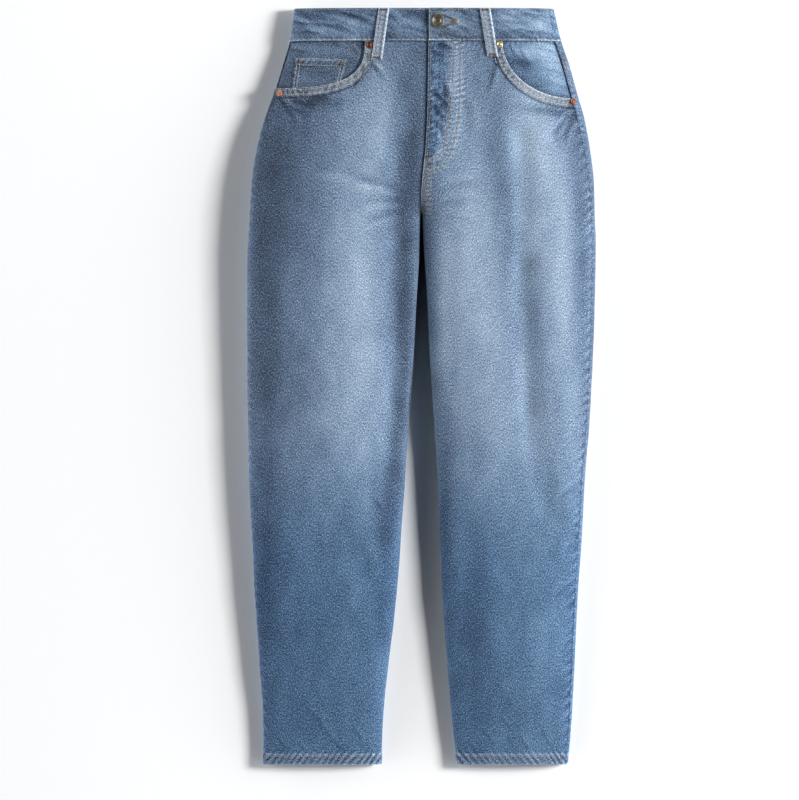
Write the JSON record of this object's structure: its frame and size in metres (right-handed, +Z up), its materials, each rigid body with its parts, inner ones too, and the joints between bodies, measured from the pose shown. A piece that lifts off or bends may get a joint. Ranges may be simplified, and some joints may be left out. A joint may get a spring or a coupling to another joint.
{
  "type": "mom jeans laid flat",
  "caption": "High-waisted denim jeans with tapered legs, lying flat on their back with the fly closed and the pockets, belt loops and hems in place.",
  "frame": {"origin": "the middle of the surface that the jeans lie on, under the centre of their outline", "axes": "+Z up from the surface, out of the front of the jeans; +Y from the hems to the waist; +X towards the wearer's left leg"},
  "size_m": [0.4619, 1.002, 0.0468],
  "materials": {
    "denim": "mid-blue stonewashed cotton twill, paler on the thighs and along the seams, matt",
    "button_metal": "aged pewter-coloured metal, half matt",
    "rivet_metal": "worn copper-coloured metal, half matt"
  },
  "bodies": {
    "root": {"front_left": "denim", "front_right": "denim", "back_left": "denim", "back_right": "denim", "yoke_left": "denim", "yoke_right": "denim", "waistband": "denim", "fly_shield": "denim", "pocket_facing_left": "denim", "pocket_facing_right": "denim", "coin_pocket": "denim", "back_pocket_left": "denim", "back_pocket_right": "denim", "belt_loop_front_left": "denim", "belt_loop_front_right": "denim", "belt_loop_back_left": "denim", "belt_loop_back_right": "denim", "belt_loop_back_centre": "denim", "button": "button_metal", "rivet_left_side": "rivet_metal", "rivet_left_waist": "rivet_metal", "rivet_right_side": "rivet_metal", "rivet_right_waist": "rivet_metal"}
  },
  "joints": []
}
